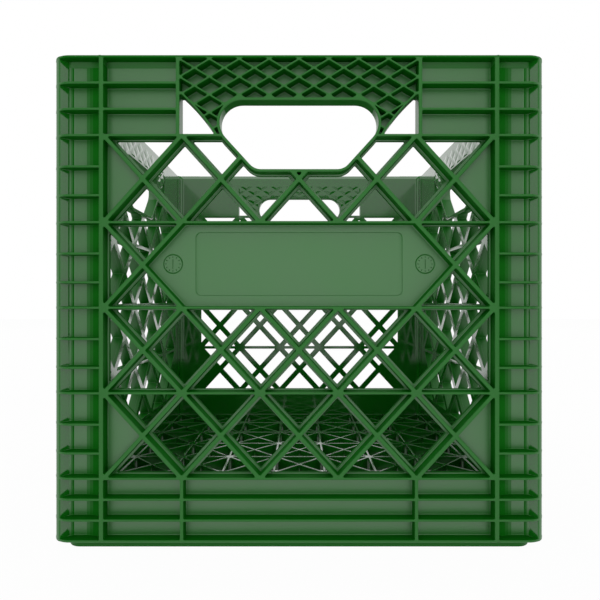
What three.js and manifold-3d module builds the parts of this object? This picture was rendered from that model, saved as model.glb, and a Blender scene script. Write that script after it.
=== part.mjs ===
// A square dairy crate of moulded HDPE: four ribbed lattice walls with a hand hole in each,
// four corner posts, an open floor grid and a stacking foot. Millimetres, +Z up.
// The origin is on the ground, under the middle of the crate.

import * as THREE from 'three';
import { mergeVertices } from 'three/addons/utils/BufferGeometryUtils.js';
import { ConvexGeometry } from 'three/addons/geometries/ConvexGeometry.js';
import Module from 'manifold-3d';

const wasm = await Module();
wasm.setup();

// Outside sizes
const CRATE_WIDTH = 340;        // outside width and depth, for four one-gallon jugs inside
const CRATE_HEIGHT = 337.7;     // ground to the top of the rim
const CORNER_RADIUS = 13.5;     // rounding of the upright outside corners
const FOOT_HEIGHT = 6.4;        // stacking foot, below the walls
const FOOT_INSET = 7.7;         // foot's outside, in from the wall's outside
const FOOT_WIDTH = 7;           // width of the foot's ring
const FOOT_CORNER_RADIUS = 10;

// Section of a wall, from its outside to its inside
const RIB_DEPTH = 8;            // front of the ribs to the face of the plates
const PLATE = 3;                // plates, and the inner flanges of the bars
const RIB = 1.6;                // level ribs, bay ribs and post shelves
const RIB_FLANGE = 3.4;         // inner flange of a level rib
const BAR = 2.7;                // slanting lattice bars
const BAR_FLANGE = 6.3;         // inner flange of a slanting bar

// Heights, counted upwards
const BASE_BAY = 14.17;         // one of the bays in the base band
const BASE_BAYS = 3;
const EQUAL_ROWS = 3;           // lattice rows that share the height that the rest leaves
const UPPER_ROW = 59.2;         // the lattice row beside the hand hole
const PANEL_BAY = 17.85;        // the lower bays of an upper panel
const PANEL_BAYS = 2;
const TOP_BAY = 18.6;           // the bay under the rim

// Rim with the lead-in that takes the foot of the crate above
const RIM_LIP = 1.6;            // thickness of the lip
const RIM_WIDTH = 6.5;          // flat top of the rim
const RIM_FLARE = 4;            // how far the plates lean out under the lip

// Widths along a wall
const POST_WIDTH = 36.9;        // corner post, with its edge rib
const POST_RIB = 3;             // edge rib of a post
const POST_WEB = 5.8;           // slanting web in the corner of a post
const LATTICE_COLUMNS = 5;
const BASE_RIB = 2.4;           // upright ribs of the base band
const PANEL_INNER = 81.3;       // middle of the wall to an upper panel
const PANEL_RIB = 2.5;          // upright rib that ends an upper panel

// Shelves of a post between two lattice rows, counted down from the upper row
const SHELF_DROPS = [21.3, 40.9];

// Hand hole, along the middle line of its rim
const HANDLE_DROP = 29.6;       // rim of the crate to the top of the hand hole
const HANDLE_HEIGHT = 48.7;
const HANDLE_END_REACH = 39;    // middle of the wall to the centre of a round end
const HANDLE_END_RADIUS = 16;
const HANDLE_FOOT_REACH = 26;   // middle of the wall to the centre of a lower corner
const HANDLE_FOOT_RADIUS = 11;
const HANDLE_RIM = 1.9;

// Waffle grip above the hand hole
const WAFFLE_COLUMNS = 8;
const WAFFLE_ROW = 12.15;
const WAFFLE_RIB = 1.5;
const WAFFLE_DROP = 2.5;        // rim of the crate to the first row of crossings
const STUB_ROWS = 2;            // rows from there to the crossings that stand on the hand hole
const STUBS_EACH_SIDE = 1;      // upright stubs each side of the middle one
const GRIP_GAP_HEIGHT = 27.7;   // open corner between the grip and an upper panel
const GRIP_GAP_WIDTH = 25.5;
const GRIP_GAP_BULGE = 3;       // how far its slanting side bows into the grip
const GRIP_EDGE = 1.9;          // rib along that side

// Floor
const FLOOR_HEIGHT = 19;        // ground to the top of the floor
const FLOOR_CELLS = 7;          // square cells along a side, each crossed by both diagonals
const FLOOR_RIB = 2.2;

// Facets
const CORNER_STEPS = 3;
const HANDLE_STEPS = 3;
const CURVE_STEPS = 3;
const SMALLEST_EDGE = 0.001;

// Places that follow from the sizes
const HALF = CRATE_WIDTH / 2;
const WALL = RIB_DEPTH + PLATE;
const SKIN = HALF - RIB_DEPTH;
const INNER = HALF - WALL;
const POST_INNER = HALF - POST_WIDTH;
const WALL_REACH = POST_INNER + POST_RIB;
const COLUMN_PITCH = 2 * POST_INNER / LATTICE_COLUMNS;
const END_COLUMN = POST_INNER - COLUMN_PITCH;
const BODY_BOTTOM = FOOT_HEIGHT;
const BASE_TOP = BODY_BOTTOM + RIB / 2 + BASE_BAYS * BASE_BAY;
const RIM = CRATE_HEIGHT;
const PANEL_FOOT = RIM - TOP_BAY - PANEL_BAYS * PANEL_BAY;
const LABEL_HEAD = PANEL_FOOT - UPPER_ROW;
const ROW_PITCH = (LABEL_HEAD - BASE_TOP) / EQUAL_ROWS;
const LOW_ROW = BASE_TOP + ROW_PITCH;
const LABEL_FOOT = LOW_ROW + ROW_PITCH;
const LIP_UNDER = RIM - RIM_LIP;
const LIP_MIDDLE = RIM - RIM_LIP / 2;
const FLARE_FOOT = LIP_UNDER - RIM_FLARE;
const HANDLE_TOP = RIM - HANDLE_DROP;
const HANDLE_BOTTOM = HANDLE_TOP - HANDLE_HEIGHT;
const WAFFLE_PITCH = 2 * PANEL_INNER / WAFFLE_COLUMNS;
const WAFFLE_TOP = RIM - WAFFLE_DROP;
const GRIP_SIDE = PANEL_FOOT + GRIP_GAP_HEIGHT;
const GRIP_CUT = PANEL_INNER + PANEL_RIB / 2;
const GRIP_CORNER = GRIP_CUT - GRIP_GAP_WIDTH;

const LATTICE_ROWS = [
  { foot: BASE_TOP, head: LOW_ROW, closedEnds: true },
  { foot: LOW_ROW, head: LABEL_FOOT, closedEnds: false },
  { foot: LABEL_FOOT, head: LABEL_HEAD, closedEnds: false },
  { foot: LABEL_HEAD, head: PANEL_FOOT, closedEnds: true },
];
const LABEL_ROW = LATTICE_ROWS[2];

// Colours of the moulding: one plastic, a little lighter on the plates than on the ribs
const GREEN_PLATE = 0x4c7a4f;
const GREEN_RIB = 0x2f6a34;
const GREEN_FOOT = 0x1c5222;

function plastic(colour) {
  return new THREE.MeshStandardMaterial({ color: colour, roughness: 0.28, metalness: 0 });
}

// A closed geometry as a solid that can be joined and cut
function solid(geometry) {
  const bare = geometry.clone();
  bare.deleteAttribute('normal');
  bare.deleteAttribute('uv');
  const merged = mergeVertices(bare);
  return new wasm.Manifold(new wasm.Mesh({
    numProp: 3,
    vertProperties: new Float32Array(merged.attributes.position.array),
    triVerts: new Uint32Array(merged.index.array),
  }));
}

function join(solids) {
  return solids.reduce((whole, next) => whole.add(next));
}

// The finished solid as a geometry, with faces that lie in one plane taken together
function geometryOf(shape) {
  const mesh = shape.asOriginal().simplify(SMALLEST_EDGE).getMesh();
  const geometry = new THREE.BufferGeometry();
  geometry.setAttribute('position', new THREE.BufferAttribute(mesh.vertProperties, 3));
  geometry.setIndex(new THREE.BufferAttribute(mesh.triVerts, 1));
  geometry.computeVertexNormals();
  return geometry;
}

function piece(name, geometry, colour) {
  const mesh = new THREE.Mesh(geometry, plastic(colour));
  mesh.name = name;
  return mesh;
}

// An outline drawn in a plane and thickened from low to high
function slab(outline, low, high, steps = CORNER_STEPS) {
  const depth = high - low;
  const geometry = new THREE.ExtrudeGeometry(outline, { depth, bevelEnabled: false, curveSegments: steps });
  return solid(geometry.translate(0, 0, low));
}

function outlineOf(points) {
  return new THREE.Shape(points.map(([x, y]) => new THREE.Vector2(x, y)));
}

function rectangle(left, bottom, right, top) {
  return outlineOf([[left, bottom], [right, bottom], [right, top], [left, top]]);
}

// A straight strip between two points, longer than them by extra at both ends
function strip([fromX, fromY], [toX, toY], width, extra = 0) {
  const length = Math.hypot(toX - fromX, toY - fromY);
  const alongX = (toX - fromX) / length;
  const alongY = (toY - fromY) / length;
  const sideX = -alongY * width / 2;
  const sideY = alongX * width / 2;
  const startX = fromX - alongX * extra;
  const startY = fromY - alongY * extra;
  const endX = toX + alongX * extra;
  const endY = toY + alongY * extra;
  return outlineOf([
    [startX + sideX, startY + sideY], [startX - sideX, startY - sideY],
    [endX - sideX, endY - sideY], [endX + sideX, endY + sideY],
  ]);
}

// A wall is drawn facing the reader: x along it, y up, z out of it, with its outside at z = 0.
// Ribs take the full depth of the wall, and plates and flanges its inner layer.
function rib(outline, steps) {
  return slab(outline, -WALL, 0, steps);
}

function plate(outline, steps) {
  return slab(outline, -WALL, -RIB_DEPTH, steps);
}

// Thin rib that stands on a plate, rooted in the middle of it
function standingRib(outline) {
  return slab(outline, -RIB_DEPTH - PLATE / 2, 0);
}

// Level T-section rib across the wall
function levelRib(height) {
  return join([
    rib(rectangle(-WALL_REACH, height - RIB / 2, WALL_REACH, height + RIB / 2)),
    plate(rectangle(-WALL_REACH, height - RIB_FLANGE / 2, WALL_REACH, height + RIB_FLANGE / 2)),
  ]);
}

// Crossed T-section bars of one cell of the lattice
function crossedBars(row, left, right) {
  const rising = [[left, row.foot], [right, row.head]];
  const falling = [[left, row.head], [right, row.foot]];
  return [rising, falling].flatMap(([from, to]) => [
    rib(strip(from, to, BAR, BAR_FLANGE)),
    plate(strip(from, to, BAR_FLANGE, BAR_FLANGE)),
  ]);
}

function columnEdge(index) {
  return index * COLUMN_PITCH - POST_INNER;
}

function latticeRow(row, columns) {
  const bars = columns.flatMap((index) => crossedBars(row, columnEdge(index), columnEdge(index + 1)));
  const band = slab(rectangle(-WALL_REACH, row.foot, WALL_REACH, row.head), -WALL, 0);
  const parts = [join(bars).intersect(band)];
  if (row.closedEnds) {
    parts.push(...[-1, 1].map((side) => closedEnd(row, side)));
  }
  return join(parts);
}

// Plate that closes the three-cornered gap between the lattice and a post
function closedEnd(row, side) {
  const tip = POST_INNER - COLUMN_PITCH / 2;
  return plate(outlineOf([
    [side * WALL_REACH, row.foot], [side * WALL_REACH, row.head], [side * POST_INNER, row.head],
    [side * tip, (row.foot + row.head) / 2], [side * POST_INNER, row.foot],
  ]));
}

// Six-sided label plate with its tips on the outermost crossings
function labelPlate() {
  const tip = POST_INNER - COLUMN_PITCH / 2;
  const middle = (LABEL_ROW.foot + LABEL_ROW.head) / 2;
  return plate(outlineOf([
    [-tip, middle], [-END_COLUMN, LABEL_ROW.foot], [END_COLUMN, LABEL_ROW.foot],
    [tip, middle], [END_COLUMN, LABEL_ROW.head], [-END_COLUMN, LABEL_ROW.head],
  ]));
}

// Base band: a plate with level bay ribs and two upright ribs under the lattice crossings
function baseBand() {
  const top = BASE_TOP + RIB / 2;
  const parts = [plate(rectangle(-WALL_REACH, BODY_BOTTOM, WALL_REACH, top))];
  for (let bay = 0; bay <= BASE_BAYS; bay += 1) {
    const middle = BASE_TOP - bay * BASE_BAY;
    parts.push(rib(rectangle(-WALL_REACH, middle - RIB / 2, WALL_REACH, middle + RIB / 2)));
  }
  for (const side of [-1, 1]) {
    const middle = side * END_COLUMN;
    parts.push(rib(rectangle(middle - BASE_RIB / 2, BODY_BOTTOM, middle + BASE_RIB / 2, top)));
  }
  return join(parts);
}

// Upper panels beside the grip: plate, bay ribs and the upright rib towards the grip
function upperPanel(side) {
  const near = side * PANEL_INNER;
  const far = side * WALL_REACH;
  const left = Math.min(near, far);
  const right = Math.max(near, far);
  const end = near + side * PANEL_RIB;
  const parts = [
    plate(rectangle(left, PANEL_FOOT, right, FLARE_FOOT)),
    rib(rectangle(Math.min(near, end), PANEL_FOOT, Math.max(near, end), LIP_MIDDLE)),
  ];
  for (let bay = 1; bay <= PANEL_BAYS; bay += 1) {
    const middle = PANEL_FOOT + bay * PANEL_BAY;
    parts.push(rib(rectangle(left, middle - RIB / 2, right, middle + RIB / 2)));
  }
  return join(parts);
}

// A section of the wall, drawn as depth from the outside and height, run between the posts
function wallRun(section) {
  const depth = 2 * WALL_REACH;
  const geometry = new THREE.ExtrudeGeometry(outlineOf(section), { depth, bevelEnabled: false });
  return solid(geometry.rotateY(Math.PI / 2).translate(-WALL_REACH, 0, 0));
}

// Lip and the flare under it, down to the top of the plates
function rimRun() {
  return wallRun([
    [0, RIM], [0, LIP_UNDER], [RIB_DEPTH - RIM_FLARE, LIP_UNDER], [RIB_DEPTH, FLARE_FOOT],
    [RIB_DEPTH, FLARE_FOOT - PLATE], [WALL, FLARE_FOOT - PLATE], [WALL, RIM],
  ]);
}

// Slope inside the rim, cut away along the wall
function leadInRun() {
  const slope = WALL - RIM_WIDTH + PLATE;
  return wallRun([
    [RIM_WIDTH - PLATE, RIM + PLATE], [RIM_WIDTH - PLATE + 2 * slope, RIM + PLATE],
    [RIM_WIDTH - PLATE + 2 * slope, RIM + PLATE - 2 * slope],
  ]);
}

// Outline of the hand hole: round ends, lower corners tangent to them, moved out by offset
function handleOutline(offset) {
  const endRadius = HANDLE_END_RADIUS + offset;
  const footRadius = HANDLE_FOOT_RADIUS + offset;
  const endHeight = HANDLE_TOP - HANDLE_END_RADIUS;
  const footHeight = HANDLE_BOTTOM + HANDLE_FOOT_RADIUS;
  const acrossX = HANDLE_FOOT_REACH - HANDLE_END_REACH;
  const acrossY = footHeight - endHeight;
  const turn = Math.acos((HANDLE_END_RADIUS - HANDLE_FOOT_RADIUS) / Math.hypot(acrossX, acrossY));
  const tangent = Math.atan2(acrossY, acrossX) + turn;
  const quarter = Math.PI / 2;
  const outline = new THREE.Shape();
  outline.absarc(HANDLE_END_REACH, endHeight, endRadius, tangent, quarter, false);
  outline.absarc(-HANDLE_END_REACH, endHeight, endRadius, quarter, Math.PI - tangent, false);
  outline.absarc(-HANDLE_FOOT_REACH, footHeight, footRadius, Math.PI - tangent, 3 * quarter, false);
  outline.absarc(HANDLE_FOOT_REACH, footHeight, footRadius, -quarter, tangent, false);
  return outline;
}

// Slanting side of the open corner beside the grip, moved towards the grip by shift
function gapSide(side, shift) {
  const lowX = GRIP_CORNER - shift;
  const highX = GRIP_CUT - shift;
  const bulge = 2 * GRIP_GAP_BULGE;
  const slope = Math.hypot(GRIP_GAP_WIDTH, GRIP_GAP_HEIGHT);
  const bowX = (lowX + highX) / 2 - bulge * GRIP_GAP_HEIGHT / slope;
  const bowY = (PANEL_FOOT + GRIP_SIDE) / 2 + bulge * GRIP_GAP_WIDTH / slope;
  return new THREE.QuadraticBezierCurve(
    new THREE.Vector2(side * highX, GRIP_SIDE),
    new THREE.Vector2(side * bowX, bowY),
    new THREE.Vector2(side * lowX, PANEL_FOOT),
  ).getPoints(CURVE_STEPS);
}

function gripOutline() {
  const right = gapSide(1, 0);
  const left = gapSide(-1, 0).reverse();
  const top = [new THREE.Vector2(-GRIP_CUT, LIP_MIDDLE), new THREE.Vector2(GRIP_CUT, LIP_MIDDLE)];
  return new THREE.Shape([...top, ...right, ...left]);
}

function gripEdge(side) {
  const outside = gapSide(side, 0);
  const inside = gapSide(side, GRIP_EDGE).reverse();
  return standingRib(new THREE.Shape([...outside, ...inside]));
}

// Crossed thin ribs of the grip, cut to the grip's outline
function waffleRibs() {
  const fall = WAFFLE_TOP - PANEL_FOOT;
  const reach = fall * WAFFLE_PITCH / WAFFLE_ROW;
  const count = Math.ceil((PANEL_INNER + reach) / WAFFLE_PITCH);
  const ribs = [];
  for (let index = -count; index <= count; index += 1) {
    const top = [index * WAFFLE_PITCH, WAFFLE_TOP];
    for (const side of [-1, 1]) {
      ribs.push(standingRib(strip(top, [top[0] + side * reach, PANEL_FOOT], WAFFLE_RIB, PLATE)));
    }
  }
  return join(ribs).intersect(slab(gripOutline(), -WALL, 0));
}

function gripStubs() {
  const top = WAFFLE_TOP - STUB_ROWS * WAFFLE_ROW;
  const stubs = [];
  for (let index = -STUBS_EACH_SIDE; index <= STUBS_EACH_SIDE; index += 1) {
    const place = index * WAFFLE_PITCH;
    stubs.push(standingRib(strip([place, top], [place, HANDLE_TOP], WAFFLE_RIB)));
  }
  return join(stubs);
}

function handleGrip() {
  const backing = plate(gripOutline()).intersect(
    slab(rectangle(-GRIP_CUT, PANEL_FOOT, GRIP_CUT, FLARE_FOOT), -WALL, 0));
  return join([backing, waffleRibs(), gripStubs(), gripEdge(-1), gripEdge(1)]);
}

// One whole wall between its posts, as one solid that is then divided into regions
function wallSolid(labelled) {
  const everyColumn = Array.from({ length: LATTICE_COLUMNS }, (_, index) => index);
  const endColumns = [0, LATTICE_COLUMNS - 1];
  const parts = LATTICE_ROWS.map((row) => {
    const columns = labelled && row === LABEL_ROW ? endColumns : everyColumn;
    return latticeRow(row, columns);
  });
  for (const height of [LOW_ROW, LABEL_FOOT, LABEL_HEAD, PANEL_FOOT]) {
    parts.push(levelRib(height));
  }
  if (labelled) {
    parts.push(labelPlate());
  }
  parts.push(baseBand(), upperPanel(-1), upperPanel(1), handleGrip(), rimRun());
  const handleRim = rib(handleOutline(HANDLE_RIM / 2), HANDLE_STEPS);
  const handHole = slab(handleOutline(-HANDLE_RIM / 2), -WALL - PLATE, PLATE, HANDLE_STEPS);
  return join([...parts, handleRim]).subtract(handHole).subtract(leadInRun());
}

// The regions of a wall meet along the middle of the level ribs and of the upright panel ribs.
// Beside the hand hole the corner regions are one lattice column wide.
const GRIP_REGION = outlineOf([
  [-END_COLUMN, LABEL_HEAD], [END_COLUMN, LABEL_HEAD], [END_COLUMN, PANEL_FOOT], [GRIP_CUT, PANEL_FOOT],
  [GRIP_CUT, RIM], [-GRIP_CUT, RIM], [-GRIP_CUT, PANEL_FOOT], [-END_COLUMN, PANEL_FOOT],
]);

function wideRegion(foot, head) {
  return rectangle(-POST_INNER, foot, POST_INNER, head);
}

const WALL_REGIONS = [
  {
    name: 'upper_left_panel',
    outline: rectangle(-POST_INNER, PANEL_FOOT, -GRIP_CUT, RIM),
    colour: GREEN_PLATE,
  },
  {
    name: 'upper_right_panel',
    outline: rectangle(GRIP_CUT, PANEL_FOOT, POST_INNER, RIM),
    colour: GREEN_PLATE,
  },
  { name: 'handle_grip', outline: GRIP_REGION, colour: GREEN_RIB },
  {
    name: 'upper_left_lattice',
    outline: rectangle(-POST_INNER, LABEL_HEAD, -END_COLUMN, PANEL_FOOT),
    colour: GREEN_RIB,
  },
  {
    name: 'upper_right_lattice',
    outline: rectangle(END_COLUMN, LABEL_HEAD, POST_INNER, PANEL_FOOT),
    colour: GREEN_RIB,
  },
  { name: 'label_band', outline: wideRegion(LABEL_FOOT, LABEL_HEAD), colour: GREEN_PLATE },
  { name: 'middle_lattice', outline: wideRegion(LOW_ROW, LABEL_FOOT), colour: GREEN_RIB },
  { name: 'lower_lattice', outline: wideRegion(BASE_TOP, LOW_ROW), colour: GREEN_RIB },
  { name: 'base_band', outline: wideRegion(BODY_BOTTOM, BASE_TOP), colour: GREEN_PLATE },
];

function wallPieces(labelled) {
  const whole = wallSolid(labelled);
  return WALL_REGIONS.map(({ name, outline, colour }) => {
    const region = slab(outline, -WALL, 0);
    const title = name === 'label_band' && !labelled ? 'centre_lattice' : name;
    return { name: title, geometry: geometryOf(whole.intersect(region)), colour };
  });
}

// A wall stands upright in a group that is turned about the crate's own axis
function wall(side, turn, pieces) {
  const upright = new THREE.Group();
  upright.rotation.x = Math.PI / 2;
  upright.position.y = -HALF;
  upright.add(...pieces.map(({ name, geometry, colour }) => piece(`${side}_${name}`, geometry, colour)));
  const turned = new THREE.Group();
  turned.rotation.z = turn;
  return turned.add(upright);
}

// Corner post, drawn in plan for the corner at +X +Y
function postCorner() {
  const reach = HALF - CORNER_RADIUS;
  const outline = new THREE.Shape();
  outline.moveTo(POST_INNER, POST_INNER);
  outline.lineTo(HALF, POST_INNER);
  outline.absarc(reach, reach, CORNER_RADIUS, 0, Math.PI / 2, false);
  outline.lineTo(POST_INNER, HALF);
  return outline;
}

// Square block about the crate's axis whose sides lean from one half-width to another
function leaningBlock(lowHalf, low, highHalf, high) {
  const corners = [[lowHalf, low], [highHalf, high]].flatMap(([half, height]) =>
    [[1, 1], [1, -1], [-1, -1], [-1, 1]].map(([x, y]) => new THREE.Vector3(x * half, y * half, height)));
  return solid(new ConvexGeometry(corners));
}

// Every level of a post that carries a shelf
function postLevels() {
  const levels = LATTICE_ROWS.flatMap(({ head }) => [head, ...SHELF_DROPS.map((drop) => head - drop)]);
  for (let bay = 0; bay <= BASE_BAYS; bay += 1) {
    levels.push(BASE_TOP - bay * BASE_BAY);
  }
  for (let bay = 1; bay <= PANEL_BAYS; bay += 1) {
    levels.push(PANEL_FOOT + bay * PANEL_BAY);
  }
  return levels;
}

function postGeometry() {
  const corner = postCorner();
  const edge = POST_INNER + POST_RIB;
  const parts = [
    slab(rectangle(POST_INNER, POST_INNER, SKIN, SKIN), BODY_BOTTOM, LIP_UNDER),
    leaningBlock(SKIN, FLARE_FOOT, SKIN + RIM_FLARE, LIP_UNDER),
    slab(rectangle(POST_INNER, POST_INNER, edge, HALF), BODY_BOTTOM, RIM),
    slab(rectangle(POST_INNER, POST_INNER, HALF, edge), BODY_BOTTOM, RIM),
    slab(strip([INNER, INNER], [HALF, HALF], POST_WEB), BODY_BOTTOM, RIM),
    slab(corner, LIP_UNDER, RIM),
    ...postLevels().map((level) => slab(corner, level - RIB / 2, level + RIB / 2)),
  ];
  const inside = slab(rectangle(-INNER, -INNER, INNER, INNER), BODY_BOTTOM - PLATE, RIM + PLATE);
  const leadIn = leaningBlock(INNER, RIM - WALL + RIM_WIDTH, HALF - RIM_WIDTH + PLATE, RIM + PLATE);
  const room = slab(corner, BODY_BOTTOM, RIM);
  return geometryOf(join(parts).intersect(room).subtract(inside.add(leadIn)));
}

function post(name, turn, geometry) {
  const mesh = piece(name, geometry, GREEN_RIB);
  mesh.rotation.z = turn;
  return mesh;
}

// Floor: ribs along the edges and both diagonals of every square cell
function floorGrid() {
  const cell = 2 * INNER / FLOOR_CELLS;
  const outlines = [];
  for (let index = 0; index <= FLOOR_CELLS; index += 1) {
    const place = index * cell - INNER;
    outlines.push(strip([-INNER, place], [INNER, place], FLOOR_RIB));
    outlines.push(strip([place, -INNER], [place, INNER], FLOOR_RIB));
  }
  for (let index = 1 - FLOOR_CELLS; index < FLOOR_CELLS; index += 1) {
    const shift = index * cell;
    outlines.push(strip([-INNER, shift - INNER], [INNER, shift + INNER], FLOOR_RIB, FLOOR_RIB));
    outlines.push(strip([-INNER, shift + INNER], [INNER, shift - INNER], FLOOR_RIB, FLOOR_RIB));
  }
  const ribs = join(outlines.map((outline) => slab(outline, BODY_BOTTOM, FLOOR_HEIGHT)));
  const room = slab(rectangle(-INNER, -INNER, INNER, INNER), BODY_BOTTOM, FLOOR_HEIGHT);
  return geometryOf(ribs.intersect(room));
}

// Square with rounded corners about the crate's axis
function roundedSquare(half, radius) {
  const reach = half - radius;
  const outline = new THREE.Shape();
  [[1, 1], [-1, 1], [-1, -1], [1, -1]].forEach(([x, y], index) => {
    const start = index * Math.PI / 2;
    outline.absarc(x * reach, y * reach, radius, start, start + Math.PI / 2, false);
  });
  return outline;
}

function stackingFoot() {
  const outer = HALF - FOOT_INSET;
  const outline = roundedSquare(outer, FOOT_CORNER_RADIUS);
  const inner = outer - FOOT_WIDTH;
  outline.holes.push(rectangle(-inner, -inner, inner, inner));
  return geometryOf(slab(outline, 0, FOOT_HEIGHT));
}

const QUARTER_TURN = Math.PI / 2;
const labelledPieces = wallPieces(true);
const openPieces = wallPieces(false);
const cornerGeometry = postGeometry();

const crate = new THREE.Group();
crate.add(
  wall('front', 0, labelledPieces),
  wall('right', QUARTER_TURN, openPieces),
  wall('back', 2 * QUARTER_TURN, labelledPieces),
  wall('left', 3 * QUARTER_TURN, openPieces),
  post('back_right_post', 0, cornerGeometry),
  post('back_left_post', QUARTER_TURN, cornerGeometry),
  post('front_left_post', 2 * QUARTER_TURN, cornerGeometry),
  post('front_right_post', 3 * QUARTER_TURN, cornerGeometry),
  piece('floor_grid', floorGrid(), GREEN_RIB),
  piece('stacking_foot', stackingFoot(), GREEN_FOOT),
);

export default crate;
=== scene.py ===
"""A square dairy crate of moulded HDPE: the fine surface, its finish and the studio around it.

The walls are drawn flat, as ribs that leave gaps. Each gap becomes a pocket with a rounded edge,
a drafted side and a root fillet, and the finished wall is then divided where its CAD solids meet.
"""

import math

import bmesh
import bpy
from mathutils import Matrix, Vector
from mathutils.geometry import delaunay_2d_cdt


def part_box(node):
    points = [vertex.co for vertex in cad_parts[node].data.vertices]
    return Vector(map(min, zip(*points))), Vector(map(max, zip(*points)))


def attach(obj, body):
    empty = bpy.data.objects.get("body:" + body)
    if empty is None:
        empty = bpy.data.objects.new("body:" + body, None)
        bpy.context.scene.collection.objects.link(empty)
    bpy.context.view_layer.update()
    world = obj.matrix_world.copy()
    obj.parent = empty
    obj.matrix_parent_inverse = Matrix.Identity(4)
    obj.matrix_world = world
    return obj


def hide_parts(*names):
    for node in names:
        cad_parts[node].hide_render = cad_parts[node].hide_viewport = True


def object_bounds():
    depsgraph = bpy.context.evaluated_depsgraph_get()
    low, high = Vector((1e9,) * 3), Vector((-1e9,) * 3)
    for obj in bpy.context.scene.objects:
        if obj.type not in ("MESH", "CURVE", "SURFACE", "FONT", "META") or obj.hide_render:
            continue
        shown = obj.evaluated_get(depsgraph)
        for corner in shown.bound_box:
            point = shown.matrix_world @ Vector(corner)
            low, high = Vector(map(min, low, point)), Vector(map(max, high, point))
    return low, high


bl_info = {
    "name": "Dairy crate",
    "version": (1, 0, 0),
    "blender": (4, 5, 0),
    "location": "3D View > Sidebar > Crate",
    "description": "Builds the visible surface of a moulded dairy crate around its CAD frame",
    "category": "Add Mesh",
}

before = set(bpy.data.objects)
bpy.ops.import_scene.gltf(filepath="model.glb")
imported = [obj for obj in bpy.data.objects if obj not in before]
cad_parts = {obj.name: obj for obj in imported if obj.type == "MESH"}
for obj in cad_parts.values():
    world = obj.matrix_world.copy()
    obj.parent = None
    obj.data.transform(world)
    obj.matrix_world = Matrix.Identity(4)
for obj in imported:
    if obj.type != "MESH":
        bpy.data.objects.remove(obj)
CAD_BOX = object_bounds()
MM = 0.001

# Places that the CAD solids give
BASE_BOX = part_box("front_base_band")
PANEL_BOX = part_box("front_upper_right_panel")
FLOOR_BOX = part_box("floor_grid")
FOOT_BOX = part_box("stacking_foot")
HALF = CAD_BOX[1].x
RIM = CAD_BOX[1].z
BODY_BOTTOM = BASE_BOX[0].z
INNER = FLOOR_BOX[1].x
WALL = HALF - INNER
POST_INNER = BASE_BOX[1].x
GRIP_CUT = PANEL_BOX[0].x
BASE_TOP = BASE_BOX[1].z
LOW_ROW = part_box("front_lower_lattice")[1].z
LABEL_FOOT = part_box("front_middle_lattice")[1].z
LABEL_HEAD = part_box("front_label_band")[1].z
PANEL_FOOT = PANEL_BOX[0].z
LATTICE_LEVELS = (BASE_TOP, LOW_ROW, LABEL_FOOT, LABEL_HEAD, PANEL_FOOT)
LABEL_ROW = 2
CLOSED_ROWS = (0, 3)
COLUMNS = 5
COLUMN_PITCH = 2 * POST_INNER / COLUMNS
END_COLUMN = POST_INNER - COLUMN_PITCH
SIDES = ("front", "right", "back", "left")
POSTS = ("back_right_post", "back_left_post", "front_left_post", "front_right_post")

# How finely curves are drawn, and how close points are welded
QUARTER = math.pi / 2
ARC_STEP = math.radians(30)
FINE_STEP = math.radians(9)
HOLLOW_STEP = FINE_STEP / 3
INSIDE_STEP = FINE_STEP * 2
BOW_STEPS = 10
PAD_STEPS = 5
SOFT_TURN = math.radians(20)
TINY_TURN = math.radians(0.6)
SHARP_ANGLE = math.radians(40)
SHORTEST = 0.02 * MM
WELD = 0.0005 * MM
BAR_OVERLAP = 0.4 * MM

# A quarter round of radius 1, as how far each point is from the side and from the face
QUARTER_ANGLES = [index * ARC_STEP for index in range(round(QUARTER / ARC_STEP) + 1)]
QUARTER_ROUND = [(1 - math.sin(angle), 1 - math.cos(angle)) for angle in QUARTER_ANGLES]

# Shares of a short side that a corner or a fillet may take up, and a shelf's rounded edge
CORNER_SHARE = 0.45
EDGE_SHARE = 0.3


def length(name, description, millimetres):
    """A size that a user may change, with its default in millimetres."""
    return bpy.props.FloatProperty(
        name=name, description=description, default=millimetres * MM, unit="LENGTH", precision=5)


def count(name, description, default):
    return bpy.props.IntProperty(name=name, description=description, default=default, min=1)


def factor(name, description, default):
    """A share from 0 to 1."""
    return bpy.props.FloatProperty(
        name=name, description=description, default=default, min=0, max=1, subtype="FACTOR")


def number(name, description, default):
    return bpy.props.FloatProperty(name=name, description=description, default=default, min=0)


def hex_colour(name, description, default):
    """An sRGB colour as six hex digits."""
    return bpy.props.StringProperty(name=name, description=description, default=default)


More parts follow.
